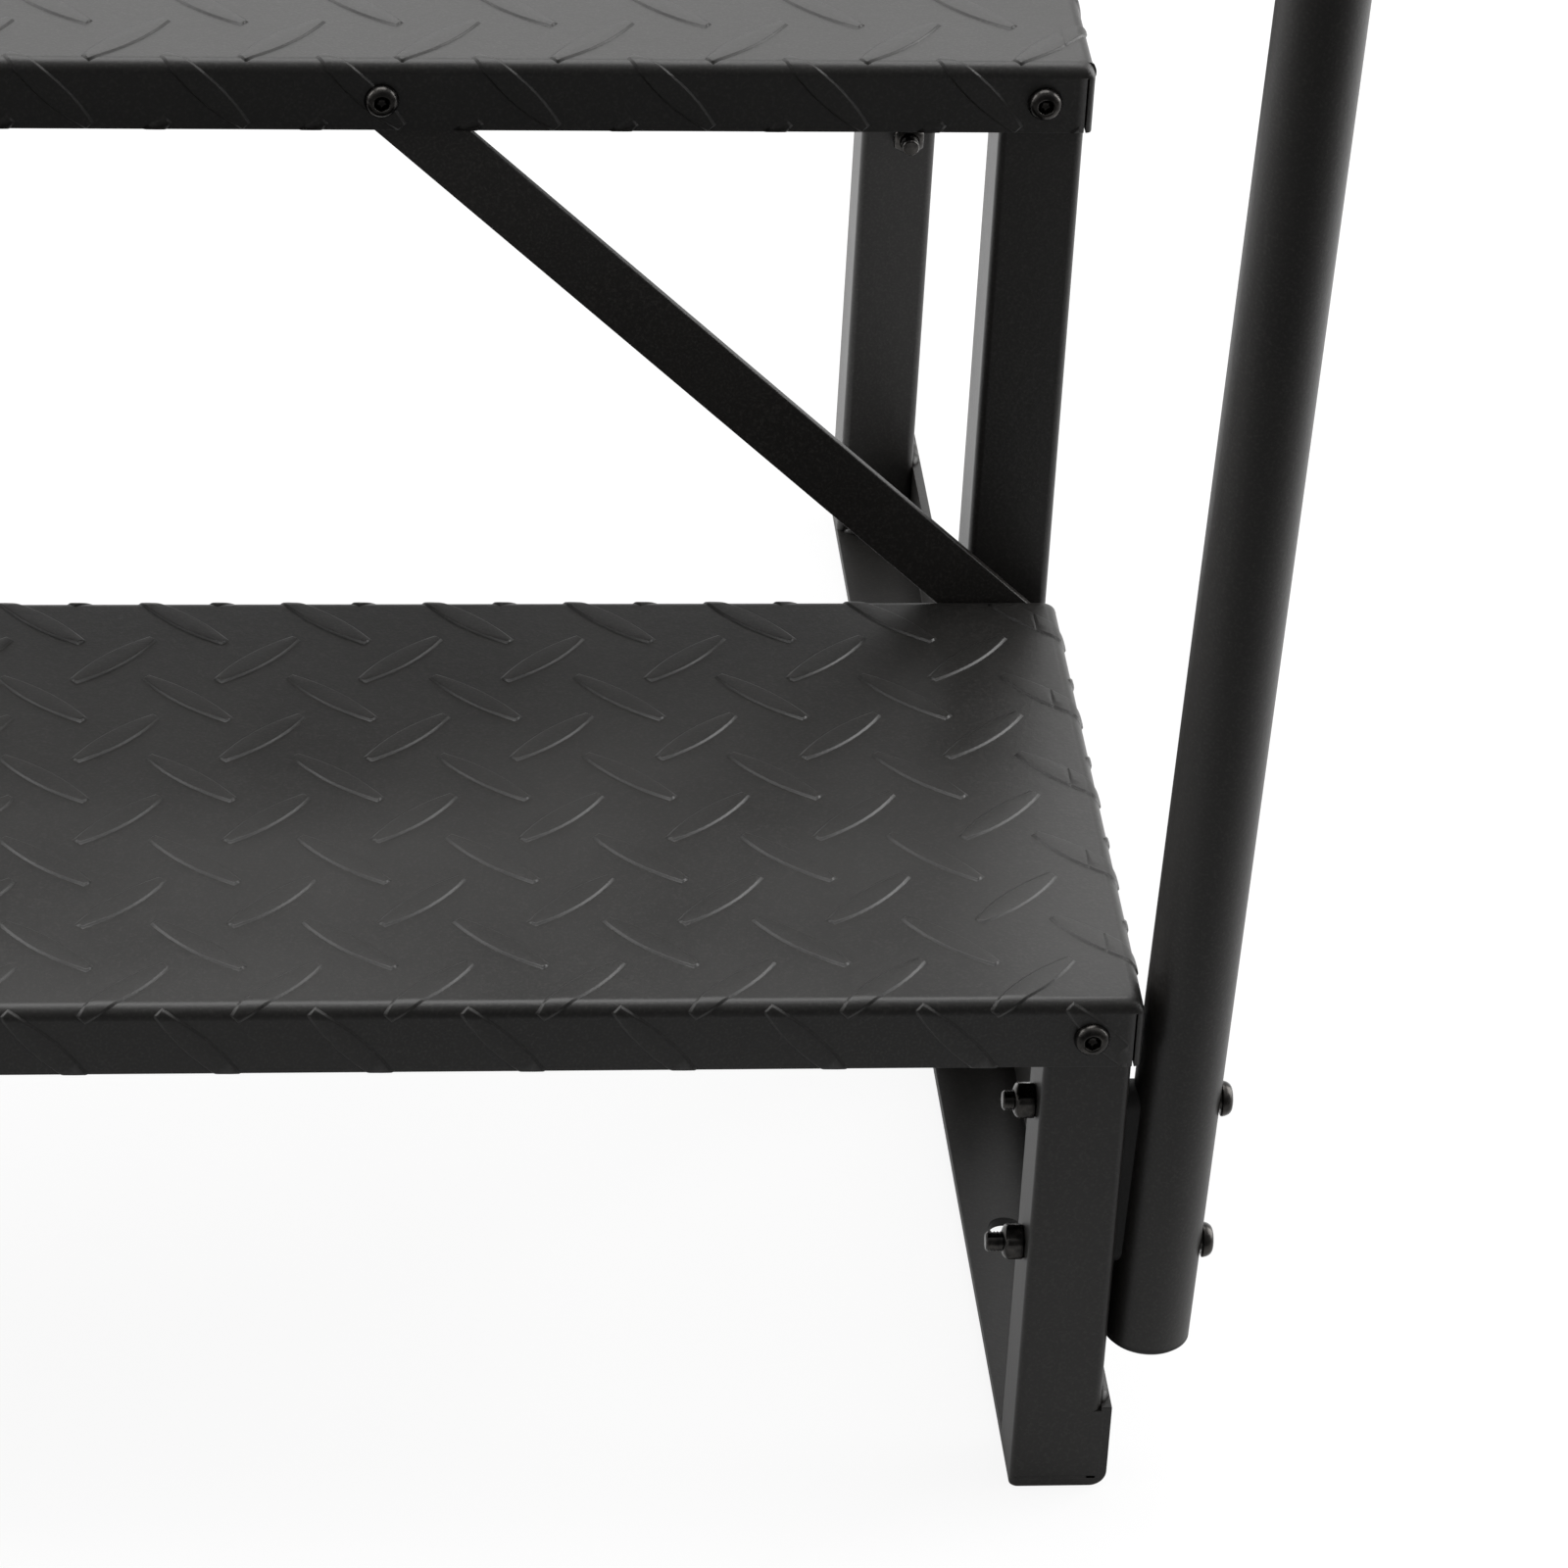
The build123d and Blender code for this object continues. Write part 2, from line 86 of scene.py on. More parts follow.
def relief(tree, source, strength, distance):
    """Bumps as high as the source is bright."""
    bumps = tree.nodes.new("ShaderNodeBump")
    bumps.inputs["Strength"].default_value = strength
    bumps.inputs["Distance"].default_value = distance
    tree.links.new(source, bumps.inputs["Height"])
    return bumps


def powder_coat(name, shade, roughness, peel):
    """Baked black powder paint: fine grain, orange peel, and faint clouds in shade and gloss."""
    coat = bpy.data.materials.new(name)
    coat.use_nodes = True
    tree = coat.node_tree
    paint = tree.nodes["Principled BSDF"]
    paint.inputs["Specular IOR Level"].default_value = 0.42
    place = tree.nodes.new("ShaderNodeTexCoord")
    clouds = noise_layer(tree, place, scale=11, detail=4)
    grain = noise_layer(tree, place, scale=1150, detail=5)

    dark = [0.8 * c for c in shade]
    light = [1.25 * c for c in shade]
    speckled = tree.nodes.new("ShaderNodeMix")
    speckled.data_type = "RGBA"
    speckled.inputs["B"].default_value = (*[2.2 * c for c in shade], 1)
    cloudy = shade_ramp(tree, clouds, (0.3, dark), (0.7, light))
    flecks = shade_ramp(tree, grain, (0.48, (0, 0, 0)), (0.78, (1, 1, 1)))
    tree.links.new(flecks, speckled.inputs["Factor"])
    tree.links.new(cloudy, speckled.inputs["A"])
    tree.links.new(speckled.outputs["Result"], paint.inputs["Base Color"])
    satin = scaled_range(tree, clouds, roughness - 0.035, roughness + 0.035, span=(0.3, 0.7))
    tree.links.new(satin, paint.inputs["Roughness"])

    fine = relief(tree, grain, strength=0.45, distance=0.00008)
    waves = relief(tree, noise_layer(tree, place, scale=240, detail=2), strength=peel, distance=0.00025)
    tree.links.new(fine.outputs["Normal"], waves.inputs["Normal"])
    tree.links.new(waves.outputs["Normal"], paint.inputs["Normal"])
    return coat


def add_piece(name, bm, material, node):
    """Turn a bmesh into a finished piece that stands for one CAD node."""
    bmesh.ops.recalc_face_normals(bm, faces=bm.faces)
    mesh = bpy.data.meshes.new(name)
    bm.to_mesh(mesh)
    bm.free()
    mesh.polygons.foreach_set("use_smooth", [True] * len(mesh.polygons))
    mesh.materials.append(material)
    piece = bpy.data.objects.new(name, mesh)
    bpy.context.scene.collection.objects.link(piece)
    level = piece.modifiers.new("level_faces", "WEIGHTED_NORMAL")
    level.keep_sharp = False
    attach(piece, "root")
    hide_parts(node)


def round_edges(bm, edges, size, steps, clamp=False):
    """Round off the edges, and stop short of running into each other if clamp is set."""
    bmesh.ops.bevel(
        bm, geom=edges, offset=size, offset_type="OFFSET", segments=steps, profile=0.5,
        affect="EDGES", material=-1, clamp_overlap=clamp,
    )


def dressed_solid(node, edge, angle):
    """A copy of a CAD solid with its sheared or sawn edges broken, as deburring and paint leave them."""
    bm = bmesh.new()
    bm.from_mesh(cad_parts[node].data)
    bmesh.ops.remove_doubles(bm, verts=bm.verts, dist=same_point)
    bmesh.ops.dissolve_limit(bm, angle_limit=radians(0.5), verts=bm.verts, edges=bm.edges)
    sharp = [e for e in bm.edges if len(e.link_faces) == 2 and e.calc_face_angle() > radians(angle)]
    round_edges(bm, sharp, edge, steps=2, clamp=True)
    return bm


frame_coat = powder_coat("frame_powder_coat", (0.0120, 0.0111, 0.0102), roughness=0.43, peel=0.22)
for side in ("left", "right"):
    node = side + "_runner"
    add_piece(side + "_floor_runner", dressed_solid(node, runner_edge, angle=40), frame_coat, node)

# ---- Legs
# Six lengths of square steel tube with a 1.6 mm wall and rounded corners, sawn square and drilled
# for the screws. They stand on the runners' floor flanges, up to the undersides of the treads.
leg_edge = 0.0003
leg_round = 0.0025

for side in ("left", "right"):
    for row in ("front", "middle", "rear"):
        node = f"{side}_{row}_leg"
        add_piece(node + "_tube", dressed_solid(node, leg_edge, angle=50), frame_coat, node)

# ---- Weld beads
# Arc-weld fillets between each leg and its runner, rippled where the puddle froze in steps. At the
# runners' ends the weld is ground flush. They were painted with the frame.
bead_radius = 0.0028
bead_length = 0.0204
bead_ripple = 0.0014
ripple_height = 0.07  # share of the bead's radius
bead_end = 0.25  # the same, where the bead tapers off
bead_steps = 26
end_gap = 0.001  # a leg's face that is nearer than this to its runner's end has no room for a bead
ground_edge = 0.0002
ground_skin = 0.00005  # ground weld metal over a runner's end
groove_inside = 0.0030
groove_outside = 0.0009
groove_top = 0.0012  # below the top of the runner's upright flange
groove_root = 0.0006  # below the leg's lower end
seam_root = 0.0007  # the same for the seam under the leg
seam_top = 0.0006


def edges_of(verts):
    """Each edge that meets the points, once and always in the same order."""
    return list(dict.fromkeys(e for v in verts for e in v.link_edges))


def next_ring(bm, edges):
    """Extrude a ring of edges in place, and give the new ring's points and edges."""
    made = bmesh.ops.extrude_edge_only(bm, edges=edges)["geom"]
    verts = [g for g in made if isinstance(g, bmesh.types.BMVert)]
    lines = [g for g in made if isinstance(g, bmesh.types.BMEdge)]
    return verts, [e for e in lines if all(v in verts for v in e.verts)]


def draw_rings(bm, rings, steps, place):
    """A closed turned shape: rings of (radius, height, hexagon) set one after another on local Z."""
    verts = bmesh.ops.create_circle(bm, cap_ends=True, segments=steps, radius=1)["verts"]
    fresh = list(verts)
    edges = edges_of(verts)
    for index, (radius, height, hexagon) in enumerate(rings):
        if index:
            verts, edges = next_ring(bm, edges)
            fresh += verts
        for vert in verts:
            angle = atan2(vert.co.y, vert.co.x)
            reach = radius
            rise = height
            if hexagon:
                reach = radius / cos((angle + pi / 6) % (pi / 3) - pi / 6)
                rise = height + hexagon * (reach - radius)
            vert.co = (reach * cos(angle), reach * sin(angle), rise)
    bmesh.ops.edgeloop_fill(bm, edges=edges)
    bmesh.ops.transform(bm, matrix=place, verts=fresh)


def weld_bead(bm, corner, turn):
    """A rippled fillet, centred on the corner that it fills, along the turned Z axis."""
    rings = []
    for step in range(bead_steps + 1):
        t = step / bead_steps
        swell = 1 + ripple_height * sin(2 * pi * t * bead_length / bead_ripple)
        taper = max(bead_end, 1 - abs(2 * t - 1) ** 7)
        rings.append((bead_radius * swell * taper, (t - 0.5) * bead_length, 0))
    draw_rings(bm, rings, steps=14, place=Matrix.Translation(corner) @ turn)


def ground_fill(bm, spans):
    """Weld metal ground level with the faces beside it, between two places on each axis."""
    low = Vector([min(span) for span in spans])
    high = Vector([max(span) for span in spans])
    made = bmesh.ops.create_cube(bm, size=1)["verts"]
    bmesh.ops.scale(bm, vec=high - low, verts=made)
    bmesh.ops.translate(bm, vec=(low + high) / 2, verts=made)
    round_edges(bm, edges_of(made), ground_edge, steps=2)


for side, outward in (("left", -1), ("right", 1)):
    bm = bmesh.new()
    runner_low, runner_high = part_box(side + "_runner")
    for row in ("front", "middle", "rear"):
        low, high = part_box(f"{side}_{row}_leg")
        middle = (low + high) / 2
        width = high.x - low.x
        outer = middle.x + outward * width / 2
        weld_bead(bm, Vector((outer, middle.y, runner_high.z)), Matrix.Rotation(-pi / 2, 4, "X"))
        for face, away in ((low.y, -1), (high.y, 1)):
            if runner_low.y + end_gap < face < runner_high.y - end_gap:
                weld_bead(bm, Vector((middle.x, face, low.z)), Matrix.Rotation(pi / 2, 4, "Y"))
                continue
            # At a runner's end: the groove beside the leg's rounded corner, and the seam under the leg
            depth = (face - away * leg_round, face + away * ground_skin)
            groove = (outer - outward * groove_inside, outer + outward * groove_outside)
            under = (outer, outer - outward * (width - leg_round))
            ground_fill(bm, (groove, depth, (low.z - groove_root, runner_high.z - groove_top)))
            ground_fill(bm, (under, depth, (low.z - seam_root, low.z + seam_top)))
    add_piece(side + "_welds", bm, frame_coat, side + "_weld_beads")

# ---- Treads
# Each is one sheet of steel checker plate, folded down on four sides on a press brake. The front and
# rear lips stop short of the side lips, which leaves an open seam at each corner. Powder-coated.
sheet = 0.002
fold = 0.004
fold_arc = fold * pi / 2
fold_steps = 14
lip = 0.022
lip_round = 0.0018
lip_edge = 0.0002
seam = 0.0005
corner_round = 0.005
corner_least = 0.0002
lug_length = 0.0333
lug_width = 0.0064
lug_end = 0.0018
lug_height = 0.0006
lug_crown = 0.10
lug_reach = lug_length * 0.36  # from the middle of a slanting lug to its furthest side
lug_side = ((0.00011, 0.84), (0.00018, 0.66), (0.00028, 0.06), (0.00034, -0.15))  # outward, share of height
press_mark = 0.008  # from a side lip's outer face to the groove that the press brake left in the lugs
mark_steep = 0.0002
mark_shallow = 0.0003
pressed = 0.2  # the share of a lug's height that is left in the groove
touching = 0.00001  # points that are nearer than this to a line or plane lie on it
cut_slack = 0.000001

tread_coat = powder_coat("tread_powder_coat", (0.0125, 0.0119, 0.0111), roughness=0.40, peel=0.20)


def lug_half_width(share):
    """Half of a lug's width, at a share of the way from its middle to its blunt end."""
    return (lug_end + (lug_width - lug_end) * (1 - share ** 2)) / 2


def one_lug():
    """A flat-topped lens with blunt ends and steep sides, its foot just below the sheet's surface."""
    bm = bmesh.new()
    bmesh.ops.create_grid(bm, x_segments=8, y_segments=2, size=1)
    for vert in bm.verts:
        x, y = vert.co.xy
        rise = lug_height * (1 - lug_crown * y ** 2)
        vert.co = (x * lug_length / 2, y * lug_half_width(x), rise)
    rim = [e for e in bm.edges if e.is_boundary]
    for outward, share in lug_side:
        verts, rim = next_ring(bm, rim)
        for vert in verts:
            half = lug_half_width(min(1, abs(vert.co.x) / (lug_length / 2)))
            vert.co.x *= 1 + outward / (lug_length / 2)
            vert.co.y *= 1 + outward / half
            vert.co.z = lug_height * share
    bmesh.ops.edgeloop_fill(bm, edges=rim)
    bmesh.ops.recalc_face_normals(bm, faces=bm.faces)
    mesh = bpy.data.meshes.new("lug")
    bm.to_mesh(mesh)
    bm.free()
    return mesh


def cut(bm, point, normal, clear=False):
    """Divide the whole mesh along a plane, and drop what lies beyond it if clear is set."""
    bmesh.ops.bisect_plane(
        bm, geom=bm.verts[:] + bm.edges[:] + bm.faces[:], plane_co=point, plane_no=normal,
        dist=cut_slack, clear_outer=clear,
    )


def folded_box(half_width, half_depth):
    """The sheet's outside after folding, its top at zero, with rounded folds and lip corners."""
    bm = bmesh.new()
    bmesh.ops.create_cube(bm, size=1)
    bmesh.ops.scale(bm, vec=(2 * half_width, 2 * half_depth, lip), verts=bm.verts)
    bmesh.ops.translate(bm, vec=(0, 0, -lip / 2), verts=bm.verts)
    round_edges(bm, [e for e in bm.edges if all(v.co.z > -sheet for v in e.verts)], fold, fold_steps)

    def at_corner(vert):
        return abs((half_width - abs(vert.co.x)) - (half_depth - abs(vert.co.y))) < touching

    corners = [e for e in bm.edges if all(at_corner(v) for v in e.verts) and e.calc_length() < lip]
    round_edges(bm, corners, lip_round, steps=4, clamp=True)
    return bm


def hollow_out(bm, inner_x, inner_y):
    """The inside of the pan, a sheet's thickness in from the lips, with square corners."""
    bottom = [f for f in bm.faces if f.normal.z < -0.9 and f.calc_center_median().z < -lip * 0.9]
    bmesh.ops.inset_region(bm, faces=bottom, thickness=sheet, use_even_offset=True)
    pocket = bmesh.ops.extrude_face_region(bm, geom=bottom)["geom"]
    raised = [g for g in pocket if isinstance(g, bmesh.types.BMVert)]
    bmesh.ops.translate(bm, vec=(0, 0, lip - sheet), verts=raised)
    bmesh.ops.delete(bm, geom=bottom, context="FACES")
    for vert in bm.verts:
        off_corner = max(abs(abs(vert.co.x) - inner_x), abs(abs(vert.co.y) - inner_y))
        if off_corner < sheet / 3 and vert.co.z < touching - sheet:
            vert.co.x = copysign(inner_x, vert.co.x)
            vert.co.y = copysign(inner_y, vert.co.y)
    bmesh.ops.remove_doubles(bm, verts=bm.verts, dist=same_point)


def round_corners(bm, half_width, half_depth):
    """Round the sheet's own corners in plan, where two folds meet, less and less down to the lips."""
    for x in (corner_round - half_width, half_width - corner_round):
        cut(bm, (x, 0, 0), (1, 0, 0))
    for y in (corner_round - half_depth, half_depth - corner_round):
        cut(bm, (0, y, 0), (0, 1, 0))
    for vert in bm.verts:
        wall = min(half_width - abs(vert.co.x), half_depth - abs(vert.co.y))
        if wall > sheet - touching and vert.co.z < touching - sheet:
            continue
        below = min(fold, -vert.co.z)
        inset = fold - (fold ** 2 - (fold - below) ** 2) ** 0.5
        radius = corner_round + (lip_round - corner_round) * below / fold
        allowed = max(corner_least, radius - inset)
        arm = Vector((abs(vert.co.x) - half_width + radius, abs(vert.co.y) - half_depth + radius))
        if min(arm) > 0 and arm.length > allowed:
            push = arm * (allowed / arm.length - 1)
            vert.co.x += push.x * copysign(1, vert.co.x)
            vert.co.y += push.y * copysign(1, vert.co.y)


def open_seams(bm, half_depth, inner_x, inner_y):
    """Cut a slit through the front and rear lips beside each side lip, and close its walls."""
    cut(bm, (0, 0, -fold), (0, 0, 1))
    for x in (-inner_x, seam - inner_x, inner_x - seam, inner_x):
        cut(bm, (x, 0, 0), (1, 0, 0))
    gone = []
    for face in bm.faces:
        centre = face.calc_center_median()
        in_slit = inner_x - seam < abs(centre.x) < inner_x
        in_lip = inner_y - 10 * touching < abs(centre.y)
        if in_slit and in_lip and centre.z < -fold:
            gone.append(face)
    bmesh.ops.delete(bm, geom=gone, context="FACES")
    for x_side, y_side in ((-1, -1), (-1, 1), (1, -1), (1, 1)):
        roof = []
        for x in (inner_x - seam, inner_x):
            on_wall = [v for v in bm.verts if v.is_boundary and abs(v.co.x * x_side - x) < touching]
            outer = [v for v in on_wall if v.co.y * y_side > half_depth - sheet / 2]
            inner = [v for v in on_wall if v.co.y * y_side > inner_y - touching and v not in outer]
            outer.sort(key=lambda v: v.co.z)
            inner.sort(key=lambda v: -v.co.z)
            bm.faces.new(outer + inner)
            roof.append((outer[-1], inner[0]))
        bm.faces.new([roof[0][0], roof[1][0], roof[1][1], roof[0][1]])


def folded_pan(half_width, half_depth):
    """The whole folded sheet: hollow below, its corners rounded above and open at the seams."""
    inner_x = half_width - sheet
    inner_y = half_depth - sheet
    bm = folded_box(half_width, half_depth)
    hollow_out(bm, inner_x, inner_y)
    round_corners(bm, half_width, half_depth)
    open_seams(bm, half_depth, inner_x, inner_y)
    bmesh.ops.recalc_face_normals(bm, faces=bm.faces)
    lowest = [e for e in bm.edges if all(v.co.z < touching - lip for v in e.verts)]
    round_edges(bm, [e for e in lowest if e.calc_face_angle(0) > 1], lip_edge, steps=2)
    return bm


def lay_lugs(lug, pitch, first, side, front, rear):
    """Lugs all over the unfolded sheet, in two sets that lean opposite ways, trimmed at its edges."""
    field = bmesh.new()
    for shift, turn in ((0, -pi / 4), (0.5, pi / 4)):
        columns = range(
            int((-side - lug_reach - first[0]) / pitch[0] - shift),
            int((side + lug_reach - first[0]) / pitch[0] - shift) + 1,
        )
        rows = range(
            int((front - lug_reach - first[1]) / pitch[1] - shift) - 1,
            int((rear + lug_reach - first[1]) / pitch[1] - shift) + 2,
        )
        for column in columns:
            for row in rows:
                x = first[0] + (column + shift) * pitch[0]
                y = first[1] + (row + shift) * pitch[1]
                start = len(field.verts)
                field.from_mesh(lug)
                field.verts.ensure_lookup_table()
                place = Matrix.Translation((x, y, 0)) @ Matrix.Rotation(turn, 4, "Z")
                bmesh.ops.transform(field, matrix=place, verts=field.verts[start:])
    cut(field, (side, 0, 0), (1, 0, 0), clear=True)
    cut(field, (-side, 0, 0), (-1, 0, 0), clear=True)
    cut(field, (0, front, 0), (0, -1, 0), clear=True)
    cut(field, (0, rear, 0), (0, 1, 0), clear=True)
    bmesh.ops.holes_fill(field, edges=[e for e in field.edges if e.is_boundary], sides=0)
    return field


def divide_lugs(field, flat_x, flat_front, flat_rear, marks, bare_from):
    """Cut the lugs where they crease or bend, and drop them at the corners and under the braces."""
    for mark in marks:
        cut(field, (mark, 0, 0), (1, 0, 0))
        cut(field, (-mark, 0, 0), (1, 0, 0))
    for step in range(fold_steps + 1):
        past = fold_arc * step / fold_steps
        cut(field, (flat_x + past, 0, 0), (1, 0, 0))
        cut(field, (-flat_x - past, 0, 0), (1, 0, 0))
        cut(field, (0, flat_front - past, 0), (0, 1, 0))
        cut(field, (0, flat_rear + past, 0), (0, 1, 0))
    if bare_from:
        cut(field, (bare_from, 0, 0), (1, 0, 0))
        cut(field, (-bare_from, 0, 0), (1, 0, 0))
    gone = []
    for face in field.faces:
        centre = face.calc_center_median()
        past_front = centre.y < flat_front
        past_rear = centre.y > flat_rear
        in_notch = abs(centre.x) > flat_x and (past_front or past_rear)
        under_brace = bare_from and past_rear and abs(centre.x) > bare_from
        if in_notch or under_brace:
            gone.append(face)
    bmesh.ops.delete(field, geom=gone, context="FACES")
    bmesh.ops.holes_fill(field, edges=[e for e in field.edges if e.is_boundary], sides=0)


def bend(past, height):
    """Distance along and below the fold's start, for a point that far past it on the flat sheet."""
    turn = min(past, fold_arc) / fold
    drop = max(0, past - fold_arc)
    reach = fold + height
    return reach * sin(turn), reach * (1 - cos(turn)) + drop - height


def tread(name, lug, pitch, first, bare):
    """One folded tread around its CAD solid. first is a lug's centre, bare the width kept for braces."""
    low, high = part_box(name)
    half_width = high.x - lug_height
    front = low.y + lug_height
    rear = high.y - lug_height
    top = high.z - lug_height
    middle = (front + rear) / 2
    bm = folded_pan(half_width, (rear - front) / 2)
    bmesh.ops.translate(bm, vec=(0, middle, top), verts=bm.verts)

    # The lugs, laid out over the flat sheet, pressed down in the groove and then bent with the lips
    flat_x = half_width - fold
    flat_front = front + fold
    flat_rear = rear - fold
    drop = fold_arc + lip - fold - lip_edge
    field = lay_lugs(lug, pitch, first, flat_x + drop, flat_front - drop, flat_rear + drop)
    marks = [half_width - press_mark + edge for edge in (-mark_steep, 0, mark_shallow)]
    bare_from = half_width - bare if bare else None
    divide_lugs(field, flat_x, flat_front, flat_rear, marks, bare_from)
    for vert in field.verts:
        x, y, height = vert.co
        for_x = abs(x) - flat_x
        for_y = max(flat_front - y, y - flat_rear)
        if abs(abs(x) - marks[1]) < touching and for_y < 0 < height:
            height *= pressed
        if for_x > max(for_y, same_point):
            out, down = bend(for_x, height)
            vert.co = (copysign(flat_x + out, x), y, top - down)
        elif for_y > same_point:
            out, down = bend(for_y, height)
            vert.co = (x, flat_front - out if y < middle else flat_rear + out, top - down)
        else:
            vert.co.z = top + height
    loose = bpy.data.meshes.new("lugs")
    field.to_mesh(loose)
    field.free()
    bm.from_mesh(loose)
    bpy.data.meshes.remove(loose)
    add_piece(name + "_plate", bm, tread_coat, name)


lug = one_lug()
tread("lower_tread", lug, pitch=(0.0430, 0.0442), first=(-0.0055, -0.0794), bare=0.0508)
tread("upper_tread", lug, pitch=(0.0457, 0.0442), first=(-0.0034, -0.0276), bare=0)
bpy.data.meshes.remove(lug)

# ---- Braces
# Four flat bars with rounded ends, sheared and deburred, one screw at each end. They lean in from the
# foot of each upper leg to behind the lip above. Their coat is the frame's paint painted lighter, as
# painted light for the shade they fall in.
brace_edge = 0.0004
# Painted light: the same powder paint, about twice as light as the frame's, to make up for the shade on the
# braces
brace_painted_light_coat = powder_coat("brace_powder_coat_painted_lighter", (0.0240, 0.0224, 0.0208), roughness=0.41, peel=0.24)
for side in ("left", "right"):
    for row in ("front", "rear"):
        node = f"{side}_{row}_brace"
        add_piece(node + "_bar", dressed_solid(node, brace_edge, angle=50), brace_painted_light_coat, node)

# ---- Screws and nuts
# M6 button-head screws with hexagon sockets, and nuts with a domed end that locks on the thread.
# Steel, blackened in a hot bath and oiled, so that they shine more than the paint around them.
thread = 0.003
thread_pitch = 0.001
thread_length = 0.012
head = 0.00525
head_rise = 0.0033
head_dome = ((0.0036, 0.94), (0.0042, 0.83), (0.0047, 0.65), (0.00505, 0.42), (head, 0.16), (head, 0.05))
socket = 0.002
level_hexagon = 0.001  # a hexagon whose corners lie level with its flats
nut_flat = 0.0050  # from the axis to a flat


def black_oxide(name):
    """Oiled black oxide on turned steel: dark metal with fine, uneven gloss and worn high spots."""
    steel = bpy.data.materials.new(name)
    steel.use_nodes = True
    tree = steel.node_tree
    surface = tree.nodes["Principled BSDF"]
    surface.inputs["Metallic"].default_value = 1.0
    mottle = noise_layer(tree, tree.nodes.new("ShaderNodeTexCoord"), scale=420, detail=5)
    shade = shade_ramp(tree, mottle, (0.35, (0.030, 0.029, 0.028)), (0.75, (0.070, 0.066, 0.062)))
    skin = relief(tree, mottle, strength=0.25, distance=0.00004)
    tree.links.new(shade, surface.inputs["Base Color"])
    tree.links.new(scaled_range(tree, mottle, 0.14, 0.36), surface.inputs["Roughness"])
    tree.links.new(skin.outputs["Normal"], surface.inputs["Normal"])
    return steel


fastener_steel = black_oxide("black_oxide_steel")
axes = [Vector((1, 0, 0)), Vector((0, 1, 0)), Vector((0, 0, 1))]


def separate_solids(node):
    """Lowest and highest corner of each separate solid in a CAD node, with its points."""
    bm = bmesh.new()
    bm.from_mesh(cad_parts[node].data)
    bmesh.ops.remove_doubles(bm, verts=bm.verts, dist=same_point)
    todo = set(bm.verts)
    found = []
    for first in bm.verts:
        if first not in todo:
            continue
        todo.remove(first)
        front = [first]
        points = []
        while front:
            vert = front.pop()
            points.append(vert.co.copy())
            for edge in vert.link_edges:
                other = edge.other_vert(vert)
                if other in todo:
                    todo.remove(other)
                    front.append(other)
        low = Vector([min(p[axis] for p in points) for axis in range(3)])
        high = Vector([max(p[axis] for p in points) for axis in range(3)])
        found.append((low, high, points))
    bm.free()
    return found


def screw_places(node):
    """Seat of the head, direction from head to tip, and shank length of each screw in a CAD node."""
    found = []
    for low, high, points in separate_solids(node):
        size = high - low
        along = max(range(3), key=lambda axis: size[axis])
        middle = (low + high) / 2
        wide = [p for p in points if (p - middle - axes[along] * (p - middle)[along]).length > head * 0.9]
        head_at = sum(p[along] for p in wide) / len(wide)
        toward = 1 if head_at < middle[along] else -1
        seat = middle.copy()
        seat[along] = (low[along] if toward > 0 else high[along]) + toward * head_rise
        found.append((seat, axes[along] * toward, size[along] - head_rise))
    return found


def screw_through(places, middle):
    """Direction, from head to tip, of the screw whose shank runs through a nut's middle."""

    def off_shank(place):
        seat, toward, length = place
        ahead = (middle - seat).dot(toward)
        return (middle - seat - toward * ahead).length + (0 if 0 < ahead < length else 1)

    return min(places, key=off_shank)[1]


def upright_on(seat, up):
    """Places a turned shape's local Z along a direction, one flat of its hexagon facing up."""
    side = axes[2].cross(up).normalized() if abs(up.z) < 0.9 else axes[0]
    turn = Matrix((side, up.cross(side), up)).transposed().to_4x4()
    return Matrix.Translation(seat) @ turn


def screw_rings(length):
    """A button-head screw's rings: out of its socket, over its domed head, and down its thread."""
    rings = [
        (0.0004, head_rise - 0.0026, 0),
        (socket, head_rise - 0.0021, level_hexagon),
        (socket, head_rise - 0.0005, level_hexagon),
        (0.0026, head_rise - 0.0001, 0),
        (0.0029, head_rise, 0),
    ]
    rings += [(radius, head_rise * share, 0) for radius, share in head_dome]
    rings += [(0.0051, 0, 0), (thread * 1.02, 0, 0)]
    threaded = min(length - thread_pitch, thread_length)
    rings.append((thread * 0.98, -(length - threaded), 0))
    turns = int(threaded / thread_pitch) * 2
    for step in range(turns):
        crest = thread * (0.985 if step % 2 else 0.87)
        rings.append((crest, -(length - threaded) - (step + 0.5) * threaded / (turns + 1), 0))
    rings.append((thread * 0.78, -length, 0))
    return rings


def nut_rings(height):
    """A hexagon nut's rings: its chamfered body, its locking dome, and the rim of its thread."""
    body = height * 0.80
    return [
        (0.0046, 0, 0),
        (0.0049, 0.0001, 0.45),
        (nut_flat, 0.0004, 0.45),
        (nut_flat, body, -0.50),
        (0.0048, body + height * 0.06, -0.25),
        (0.0045, body + height * 0.12, 0),
        (0.0040, height - height * 0.03, 0),
        (0.0036, height, 0),
        (0.0033, height, 0),
        (0.0031, height - 0.0005, 0),
    ]


for name in ("leg", "brace_foot", "brace_top", "handrail"):
    screw_node = name + ("_bolts" if name == "handrail" else "_screws")
    places = screw_places(screw_node)
    bm = bmesh.new()
    for seat, toward, length in places:
        draw_rings(bm, screw_rings(length), steps=24, place=upright_on(seat, -toward))
    add_piece(name + "_button_screws", bm, fastener_steel, screw_node)

    bm = bmesh.new()
    for low, high, _ in separate_solids(name + "_nuts"):
        middle = (low + high) / 2
        toward = screw_through(places, middle)
        height = abs((high - low).dot(toward))
        place = upright_on(middle - toward * height / 2, toward)
        draw_rings(bm, nut_rings(height), steps=24, place=place)
    add_piece(name + "_lock_nuts", bm, fastener_steel, name + "_nuts")
